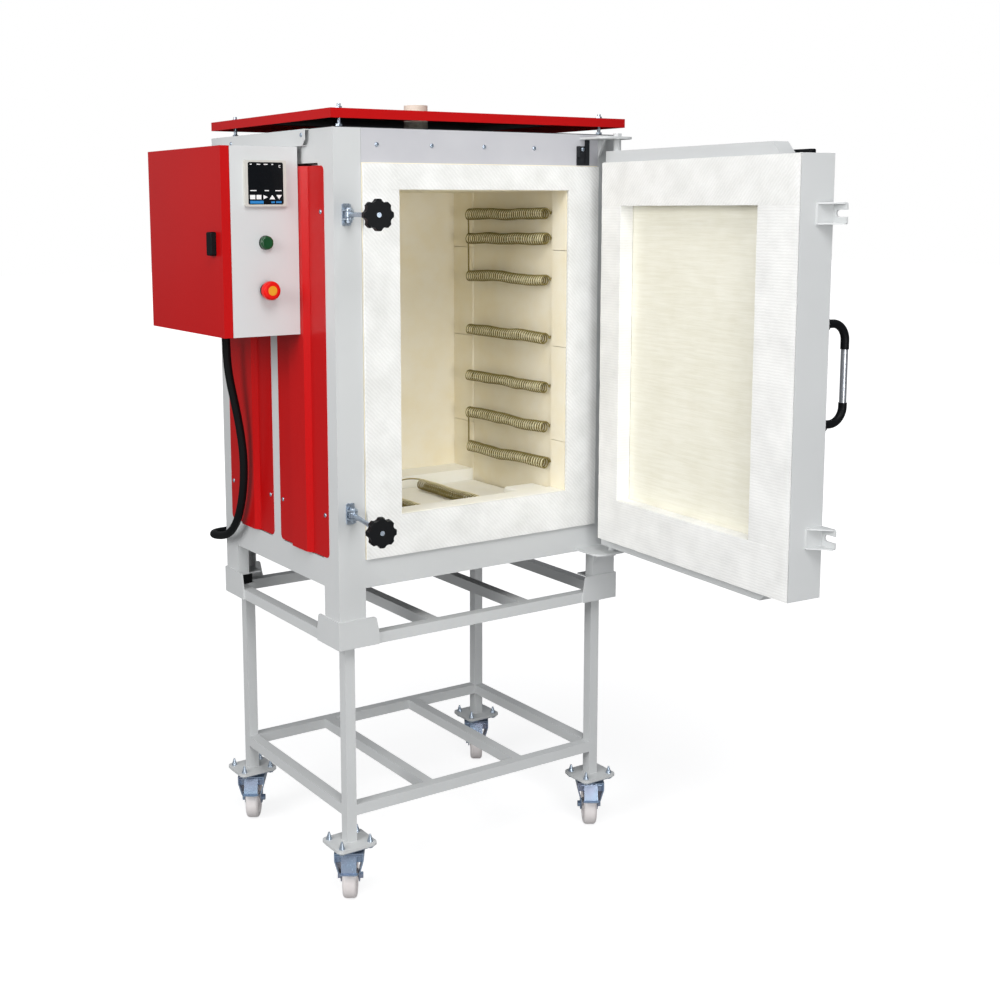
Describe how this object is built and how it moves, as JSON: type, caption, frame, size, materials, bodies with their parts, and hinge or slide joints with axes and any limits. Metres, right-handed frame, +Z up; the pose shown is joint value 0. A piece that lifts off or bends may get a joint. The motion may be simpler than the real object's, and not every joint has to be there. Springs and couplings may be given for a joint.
{
  "type": "electric chamber kiln",
  "caption": "Free-standing electric chamber kiln with an open side-hinged door, coiled wire elements, a side control box and a wheeled square-tube stand",
  "frame": {"origin": "on the floor under the middle of the whole kiln's box, the conduit left out", "axes": "+Z up, the door side of the body faces -Y, the control box is on -X, the door opens towards -Y"},
  "size_m": [0.9816, 1.3848, 1.784],
  "materials": {
    "red_enamel": "gloss red enamel on pressed sheet",
    "grey_enamel": "satin light grey powder coat",
    "black_enamel": "satin black enamel",
    "galvanised": "dull galvanised steel sheet",
    "zinc": "blue-white zinc plating",
    "fire_brick": "pale insulating fire brick",
    "fibre": "white ceramic fibre",
    "wire": "oxidised resistance wire",
    "black_rubber": "black rubber",
    "white_nylon": "white nylon",
    "black_plastic": "black moulded plastic",
    "red_plastic": "gloss red plastic",
    "green_lens": "green lens",
    "aluminium_bar": "satin aluminium",
    "porcelain": "fired ceramic",
    "pale_plastic": "pale grey moulded plastic",
    "grey_gear": "grey moulded plastic"
  },
  "bodies": {
    "kiln": {"stand_frame": "grey_enamel", "corner_cups": "grey_enamel", "rubber_feet": "black_rubber", "foot_plates": "grey_enamel", "castor_plates": "zinc", "corner_posts": "grey_enamel", "frame_rails": "grey_enamel", "side_panels": "red_enamel", "front_panel": "galvanised", "casing_sheets": "black_enamel", "panel_screws": "zinc", "roof_plate": "red_enamel", "roof_studs": "zinc", "rear_cover": "grey_enamel", "chamber_walls": "fire_brick", "chamber_floor": "fire_brick", "fibre_frame": "fibre", "insulation": "fibre", "vent_tube": "porcelain", "thermocouple": "porcelain", "elements_right": "wire", "elements_left": "wire", "elements_floor": "wire", "hinge_brackets": "grey_enamel", "swing_lugs": "zinc", "control_case": "grey_enamel", "case_rails": "grey_enamel", "controller": "pale_plastic", "pilot_lamp": "green_lens", "stop_collar": "black_plastic", "switchgear": "grey_gear", "cable_glands": "black_plastic", "conduit": "black_rubber"},
    "door": {"door_shell": "grey_enamel", "door_core": "fibre", "door_fibre": "fibre", "door_arms": "grey_enamel", "slot_brackets": "grey_enamel", "handle_arms": "black_plastic", "handle_grip": "aluminium_bar", "door_switch_strip": "black_plastic"},
    "swing_bolt_upper": {"swing_bolt_upper": "zinc"},
    "swing_bolt_lower": {"swing_bolt_lower": "zinc"},
    "star_knob_upper": {"star_knob_upper": "black_plastic"},
    "star_knob_lower": {"star_knob_lower": "black_plastic"},
    "control_lid": {"control_lid": "red_enamel"},
    "lid_latch": {"lid_latch": "black_plastic"},
    "stop_button": {"stop_button": "red_plastic"},
    "castor_fork_front_left": {"castor_fork_front_left": "zinc"},
    "castor_wheel_front_left": {"castor_wheel_front_left": "white_nylon"},
    "castor_pedal_front_left": {"castor_pedal_front_left": "zinc"},
    "castor_fork_back_left": {"castor_fork_back_left": "zinc"},
    "castor_wheel_back_left": {"castor_wheel_back_left": "white_nylon"},
    "castor_pedal_back_left": {"castor_pedal_back_left": "zinc"},
    "castor_fork_front_right": {"castor_fork_front_right": "zinc"},
    "castor_wheel_front_right": {"castor_wheel_front_right": "white_nylon"},
    "castor_pedal_front_right": {"castor_pedal_front_right": "zinc"},
    "castor_fork_back_right": {"castor_fork_back_right": "zinc"},
    "castor_wheel_back_right": {"castor_wheel_back_right": "white_nylon"},
    "castor_pedal_back_right": {"castor_pedal_back_right": "zinc"}
  },
  "joints": [
    {"name": "door_hinge", "type": "hinge", "parent": "kiln", "child": "door", "pos_m": [0.42225, -0.00715, 1.209], "axis": [0, 0, 1], "range_deg": [-86, 84]},
    {"name": "lid_hinge", "type": "hinge", "parent": "kiln", "child": "control_lid", "pos_m": [-0.45775, 0.59185, 1.475], "axis": [0, 0, 1], "range_deg": [-110, 0]},
    {"name": "latch_turn", "type": "hinge", "parent": "control_lid", "child": "lid_latch", "pos_m": [-0.47775, 0.22885, 1.472], "axis": [1, 0, 0], "range_deg": [-90, 0]},
    {"name": "stop_press", "type": "slide", "parent": "kiln", "child": "stop_button", "axis": [0, 1, 0], "range_m": [0, 0.005], "stiffness_N_per_m": 1500},
    {"name": "swing_upper", "type": "hinge", "parent": "kiln", "child": "swing_bolt_upper", "pos_m": [-0.25875, 0.03585, 1.532], "axis": [0, 0, 1], "range_deg": [-87, 11]},
    {"name": "knob_turn_upper", "type": "hinge", "parent": "swing_bolt_upper", "child": "star_knob_upper", "pos_m": [-0.29119, -0.13102, 1.532], "axis": [-0.1908, -0.9816, 0], "continuous": true},
    {"name": "swing_lower", "type": "hinge", "parent": "kiln", "child": "swing_bolt_lower", "pos_m": [-0.25875, 0.03585, 0.897], "axis": [0, 0, 1], "range_deg": [-87, 11]},
    {"name": "knob_turn_lower", "type": "hinge", "parent": "swing_bolt_lower", "child": "star_knob_lower", "pos_m": [-0.29119, -0.13102, 0.897], "axis": [-0.1908, -0.9816, 0], "continuous": true},
    {"name": "swivel_front_left", "type": "hinge", "parent": "kiln", "child": "castor_fork_front_left", "pos_m": [-0.25025, 0.08835, 0.12], "axis": [0, 0, 1], "continuous": true},
    {"name": "wheel_spin_front_left", "type": "hinge", "parent": "castor_fork_front_left", "child": "castor_wheel_front_left", "pos_m": [-0.24263, 0.1001, 0.05], "axis": [0.8387, -0.5446, 0], "continuous": true},
    {"name": "brake_pedal_front_left", "type": "hinge", "parent": "castor_fork_front_left", "child": "castor_pedal_front_left", "pos_m": [-0.26387, 0.06739, 0.115], "axis": [0.8387, -0.5446, 0], "range_deg": [0, 15]},
    {"name": "swivel_back_left", "type": "hinge", "parent": "kiln", "child": "castor_fork_back_left", "pos_m": [-0.25025, 0.59335, 0.12], "axis": [0, 0, 1], "continuous": true},
    {"name": "wheel_spin_back_left", "type": "hinge", "parent": "castor_fork_back_left", "child": "castor_wheel_back_left", "pos_m": [-0.24263, 0.6051, 0.05], "axis": [0.8387, -0.5446, 0], "continuous": true},
    {"name": "brake_pedal_back_left", "type": "hinge", "parent": "castor_fork_back_left", "child": "castor_pedal_back_left", "pos_m": [-0.26387, 0.57239, 0.115], "axis": [0.8387, -0.5446, 0], "range_deg": [0, 15]},
    {"name": "swivel_front_right", "type": "hinge", "parent": "kiln", "child": "castor_fork_front_right", "pos_m": [0.44075, 0.08835, 0.12], "axis": [0, 0, 1], "continuous": true},
    {"name": "wheel_spin_front_right", "type": "hinge", "parent": "castor_fork_front_right", "child": "castor_wheel_front_right", "pos_m": [0.44838, 0.1001, 0.05], "axis": [0.8387, -0.5446, 0], "continuous": true},
    {"name": "brake_pedal_front_right", "type": "hinge", "parent": "castor_fork_front_right", "child": "castor_pedal_front_right", "pos_m": [0.42713, 0.06739, 0.115], "axis": [0.8387, -0.5446, 0], "range_deg": [0, 15]},
    {"name": "swivel_back_right", "type": "hinge", "parent": "kiln", "child": "castor_fork_back_right", "pos_m": [0.44075, 0.59335, 0.12], "axis": [0, 0, 1], "continuous": true},
    {"name": "wheel_spin_back_right", "type": "hinge", "parent": "castor_fork_back_right", "child": "castor_wheel_back_right", "pos_m": [0.44838, 0.6051, 0.05], "axis": [0.8387, -0.5446, 0], "continuous": true},
    {"name": "brake_pedal_back_right", "type": "hinge", "parent": "castor_fork_back_right", "child": "castor_pedal_back_right", "pos_m": [0.42713, 0.57239, 0.115], "axis": [0.8387, -0.5446, 0], "range_deg": [0, 15]}
  ]
}
